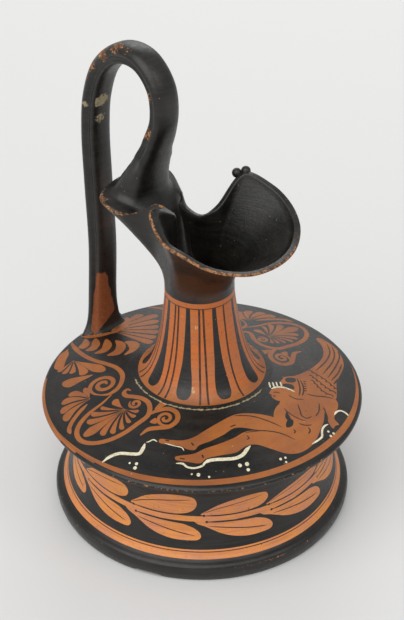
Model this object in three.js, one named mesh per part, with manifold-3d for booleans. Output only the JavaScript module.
// An epichysis: a small clay oil jug with a low drum, a wide shoulder, a slender neck,
// a beaked mouth and a high loop handle. Millimetres, +Z up, +X is where the spout points.
// The whole jug is one piece of fired clay, hollow and open at the mouth.
import * as THREE from 'three';
import { mergeVertices } from 'three/addons/utils/BufferGeometryUtils.js';
import Module from 'manifold-3d';

const wasm = await Module();
wasm.setup();

// Driving dimensions
const shoulderRadius = 62.5;
const shoulderHeight = 47;
const footRadius = 59;
const restingRadius = 57.4;
const drumWaistRadius = 50.6;
const neckFootRadius = 26.2;
const neckFootHeight = 57;
const neckRadius = 13.2;
const neckTopHeight = 97;
const neckLean = -1.4;
const wall = 3.4;
const floorThickness = 4.5;
const recessHeight = 2.6;

// Fineness of the faces
const turnSteps = 72;
const mouthSteps = 7;
const handleSides = 12;
const handleSteps = 30;

// The mouth's upper outer edge, from the spout's tip by the far side to the back and by the
// near side to the tip again: [along, across, up, flare of the wall below, width of the lip].
// It was pinched by hand, so its two sides differ.
const mouthEdge = [
  [37.4, 0, 120.2, 1.9, 2.8],
  [36.2, 9.4, 120.7, 1.9, 2.8],
  [32.4, 17.4, 121.7, 1.9, 2.8],
  [26.4, 24.2, 123.9, 1.8, 2.8],
  [17.6, 28.4, 127.4, 1.7, 2.8],
  [8.4, 28.6, 131.0, 1.6, 2.8],
  [-2.4, 23.8, 134.0, 1.5, 2.6],
  [-5.4, 12.4, 122.8, 1.3, 2.6],
  [-9.8, 10.2, 118.0, 1.2, 2.8],
  [-18.2, 10.6, 117.8, 1.1, 3.2],
  [-27.0, 15.2, 119.2, 1.1, 9],
  [-37.4, 17.2, 124.6, 1.1, 15],
  [-43.5, 0, 126, 1.0, 21],
  [-37.0, -17.4, 123.2, 1.1, 15],
  [-26.6, -17.0, 119.4, 1.1, 10],
  [-19.7, -12.0, 123.4, 1.1, 6],
  [-13.2, -11.2, 130.0, 1.2, 4],
  [-6.4, -13.6, 131.8, 1.3, 3],
  [-3.0, -23.4, 135.0, 1.5, 2.6],
  [8.6, -28.0, 129.2, 1.6, 2.8],
  [16.8, -26.8, 127.2, 1.7, 2.8],
  [25.2, -22.4, 123.4, 1.8, 2.8],
  [30.8, -16.0, 120.9, 1.9, 2.8],
  [35.2, -8.6, 119.8, 1.9, 2.8],
];
const lipDrop = 0.8;
const backPlateHeight = 121.5;
const throatCentre = new THREE.Vector2(-6, 0);

// The handle's centre line in the middle plane: [along, up]
const handleLine = [
  [-57.6, 46.6],
  [-58.3, 61],
  [-57.0, 90],
  [-58.0, 118],
  [-58.4, 140],
  [-56.6, 155],
  [-50.6, 169],
  [-40.4, 177],
  [-29.4, 177],
  [-21.4, 169.5],
  [-19.8, 158],
  [-24.4, 144],
  [-29.8, 131],
  [-33.6, 119.5],
];
const handleWidth = 11.6;
const handleThickness = 7.6;
const handleGroove = 0.16;
const handleTaper = 0.08;

// The rivet-like knob that survives on one peak of the rim
const knobPlace = new THREE.Vector3(-3.0, 23.2, 133.4);
const knobLength = 6.6;
const knobWidth = 3.8;
const knobTurn = THREE.MathUtils.degToRad(55);

// The chip in the foot's lower edge
const chipAngle = THREE.MathUtils.degToRad(-65);
const chipLength = 17;
const chipDepth = 5;
const chipHeight = 3.4;

// Smooth stretch of a profile through a few points, as [radius, height] pairs
function smooth(points, steps) {
  const curve = new THREE.SplineCurve(points.map(([r, z]) => new THREE.Vector2(r, z)));
  return curve.getPoints(steps).map((p) => [p.x, p.y]);
}

// Outer profile from the middle of the underside up to the top of the neck
function outerProfile() {
  const underside = [
    [0, recessHeight + 1.2],
    [restingRadius - 10.5, recessHeight],
    [restingRadius - 8.5, 0],
    [restingRadius, 0],
  ];
  const foot = [
    [footRadius - 0.4, 1.6],
    [footRadius, 4.4],
    [footRadius - 0.4, 6.9],
    [footRadius - 3.0, 8.6],
    [footRadius - 4.4, 10],
  ];
  const drum = smooth(
    [
      [footRadius - 6.0, 14],
      [drumWaistRadius + 0.5, 20],
      [drumWaistRadius + 0.3, 32],
      [drumWaistRadius + 3, 40],
      [drumWaistRadius + 8, 44.6],
    ],
    7,
  );
  const shoulder = [
    [shoulderRadius - 0.6, shoulderHeight - 1.4],
    [shoulderRadius, shoulderHeight],
    [shoulderRadius - 0.7, shoulderHeight + 1],
    [shoulderRadius - 16, shoulderHeight + 5],
    [neckFootRadius + 8, neckFootHeight - 1.9],
    [neckFootRadius, neckFootHeight],
  ];
  const neck = smooth(
    [
      [neckFootRadius - 2.2, neckFootHeight + 0.7],
      [neckFootRadius - 4.9, neckFootHeight + 2.9],
      [19, 64],
      [17.2, 69],
      [15.6, 75.6],
      [14.2, 84.2],
      [neckRadius + 0.1, 92],
      [neckRadius, neckTopHeight],
    ],
    8,
  );
  return [...underside, ...foot, ...drum, ...shoulder, ...neck];
}

// Inner profile from the top of the neck down to the middle of the floor
function innerProfile() {
  const bore = neckRadius - wall;
  return [
    [bore, neckTopHeight - 2],
    [bore + 0.4, 86],
    [bore + 2.2, 74],
    [bore + 4.6, 65],
    [neckFootRadius - 6.5, 58],
    [neckFootRadius, 53.6],
    [shoulderRadius - 16, 47.6],
    [shoulderRadius - 9, 43.6],
    [shoulderRadius - 11, 40.6],
    [drumWaistRadius - wall, 34],
    [drumWaistRadius - wall, 18],
    [drumWaistRadius - wall - 1, recessHeight + floorThickness + 2],
    [drumWaistRadius - wall - 3.5, recessHeight + floorThickness],
    [0, recessHeight + floorThickness + 0.6],
  ];
}

// How far the neck leans back at a height
function leanAt(height) {
  const share = THREE.MathUtils.clamp((height - neckFootHeight) / (neckTopHeight - neckFootHeight), 0, 1);
  return neckLean * share;
}

// The value of a column of the mouth table at one step of the turn
function mouthValue(step, column) {
  const place = (step / turnSteps) * mouthEdge.length;
  const below = Math.floor(place);
  const before = mouthEdge[below % mouthEdge.length][column];
  const after = mouthEdge[(below + 1) % mouthEdge.length][column];
  return THREE.MathUtils.lerp(before, after, place - below);
}

// One ring of the mouth's wall between the neck and the mouth's edge
function mouthRing(edge, share, radius, height) {
  return edge.map((point, step) => {
    const angle = (step / turnSteps) * Math.PI * 2;
    const reach = share ** mouthValue(step, 3);
    return new THREE.Vector3(
      THREE.MathUtils.lerp(neckLean + radius * Math.cos(angle), point.x, reach),
      THREE.MathUtils.lerp(radius * Math.sin(angle), point.y, reach),
      THREE.MathUtils.lerp(height, point.z, share),
    );
  });
}

// The mouth's edge moved inwards by a share of the lip's width. A thin lip keeps square to the
// edge, and the broad plate at the back runs level towards the throat.
function insetEdge(edge, share, drop) {
  return edge.map((point, step) => {
    const before = edge[(step + turnSteps - 2) % turnSteps];
    const after = edge[(step + 2) % turnSteps];
    const lip = mouthValue(step, 4);
    const broad = THREE.MathUtils.smoothstep(lip, 4, 9);
    const inwards = new THREE.Vector2(before.y - after.y, after.x - before.x).normalize();
    const home = new THREE.Vector2(throatCentre.x - point.x, throatCentre.y - point.y).normalize();
    const move = inwards.lerp(home, broad).multiplyScalar(lip * share);
    const height = THREE.MathUtils.lerp(point.z - drop, backPlateHeight, broad * share);
    return new THREE.Vector3(point.x + move.x, point.y + move.y, height);
  });
}

// A ring of the turned body
function turnedRing([radius, height]) {
  const ring = [];
  for (let step = 0; step < turnSteps; step += 1) {
    const angle = (step / turnSteps) * Math.PI * 2;
    ring.push(
      new THREE.Vector3(leanAt(height) + radius * Math.cos(angle), radius * Math.sin(angle), height),
    );
  }
  return ring;
}

// Every ring of the jug's skin: up the outside, over the rim and down the inside
function skinRings() {
  const points = mouthEdge.map(([x, y, z]) => new THREE.Vector3(x, y, z));
  const curve = new THREE.CatmullRomCurve3(points, true, 'centripetal');
  const crest = curve.getPoints(turnSteps).slice(0, turnSteps);
  const outerEdge = crest.map((point) => point.clone().setZ(point.z - lipDrop));
  const innerEdge = insetEdge(crest, 1, lipDrop);
  const rings = outerProfile().map(turnedRing);
  for (let row = 1; row <= mouthSteps; row += 1) {
    rings.push(mouthRing(outerEdge, row / mouthSteps, neckRadius, neckTopHeight));
  }
  rings.push(insetEdge(crest, 0.15, 0), insetEdge(crest, 0.75, 0), innerEdge);
  for (let row = mouthSteps - 1; row >= 1; row -= 1) {
    rings.push(mouthRing(innerEdge, row / mouthSteps, neckRadius - wall, neckTopHeight - 2));
  }
  rings.push(...innerProfile().map(turnedRing));
  return rings;
}

// The skin as a turned shape whose rings are moved to their places
function skinGeometry() {
  const rings = skinRings();
  const rows = rings.map((ring, row) => new THREE.Vector2(row === 0 || row === rings.length - 1 ? 0 : 1, row));
  const geometry = new THREE.LatheGeometry(rows, turnSteps);
  const position = geometry.attributes.position;
  for (let column = 0; column <= turnSteps; column += 1) {
    for (let row = 0; row < rings.length; row += 1) {
      const point = rings[row][column % turnSteps];
      position.setXYZ(column * rings.length + row, point.x, point.y, point.z);
    }
  }
  return geometry;
}

// A point of the handle's section, from the angle round it: [across, out of the loop]
function handleSection(angle) {
  const across = Math.sign(Math.sin(angle)) * Math.abs(Math.sin(angle)) ** 0.75;
  const out = Math.sign(Math.cos(angle)) * Math.abs(Math.cos(angle)) ** 0.85;
  const groove = 1 - handleGroove * Math.exp(-(((out + 0.3) / 0.3) ** 2));
  return [across * groove * handleWidth * 0.5, out * handleThickness * 0.5];
}

// A cylinder bent along the handle's line, wider at its two roots
function handleGeometry() {
  const line = new THREE.CatmullRomCurve3(handleLine.map(([x, z]) => new THREE.Vector3(x, 0, z)));
  const length = line.getLength();
  const geometry = new THREE.CylinderGeometry(1, 1, 1, handleSides, handleSteps);
  const position = geometry.attributes.position;
  for (let i = 0; i < position.count; i += 1) {
    const share = position.getY(i) + 0.5;
    const spread = Math.hypot(position.getX(i), position.getZ(i));
    const [across, out] = handleSection(Math.atan2(position.getX(i), position.getZ(i)));
    const centre = line.getPointAt(share);
    const along = line.getTangentAt(share);
    const foot = Math.exp(-(share * length) / 5);
    const root = Math.exp(-((1 - share) * length) / 11);
    const stout = 1 + handleTaper * (1 - share);
    const wide = spread * across * (stout + 0.85 * foot + 1.3 * root);
    const thick = spread * out * (stout + 0.2 * foot + 0.2 * root);
    position.setXYZ(i, centre.x - along.z * thick, -wide, centre.z + along.x * thick);
  }
  return geometry;
}

// A ball stretched into a small lump, turned about the vertical
function lumpGeometry(place, length, width, height, turn) {
  const geometry = new THREE.SphereGeometry(0.5, 14, 8);
  geometry.scale(length, width, height);
  geometry.rotateZ(turn);
  geometry.translate(place.x, place.y, place.z);
  return geometry;
}

// A closed geometry as a solid
function solidOf(geometry) {
  geometry.deleteAttribute('normal');
  geometry.deleteAttribute('uv');
  const merged = mergeVertices(geometry, 1e-4);
  return new wasm.Manifold(
    new wasm.Mesh({
      numProp: 3,
      vertProperties: merged.attributes.position.array,
      triVerts: new Uint32Array(merged.index.array),
    }),
  );
}

// A solid as a geometry that a mesh can hold
function geometryOf(solid) {
  const mesh = solid.getMesh();
  const geometry = new THREE.BufferGeometry();
  geometry.setAttribute('position', new THREE.BufferAttribute(Float32Array.from(mesh.vertProperties), 3));
  geometry.setIndex(new THREE.BufferAttribute(Uint32Array.from(mesh.triVerts), 1));
  geometry.computeVertexNormals();
  return geometry;
}

function vesselMesh() {
  const chipPlace = new THREE.Vector3(footRadius * Math.cos(chipAngle), footRadius * Math.sin(chipAngle), 0);
  const chip = lumpGeometry(chipPlace, chipLength, chipDepth, chipHeight, chipAngle + Math.PI / 2);
  const knob = lumpGeometry(knobPlace, knobLength, knobWidth, knobWidth, knobTurn);
  const solid = solidOf(skinGeometry())
    .add(solidOf(handleGeometry()))
    .add(solidOf(knob))
    .subtract(solidOf(chip));
  const glaze = new THREE.MeshStandardMaterial({ color: 0x2a2927, roughness: 0.4, metalness: 0 });
  const mesh = new THREE.Mesh(geometryOf(solid), glaze);
  mesh.name = 'vessel';
  return mesh;
}

const epichysis = new THREE.Group();
epichysis.add(vesselMesh());

export default epichysis;
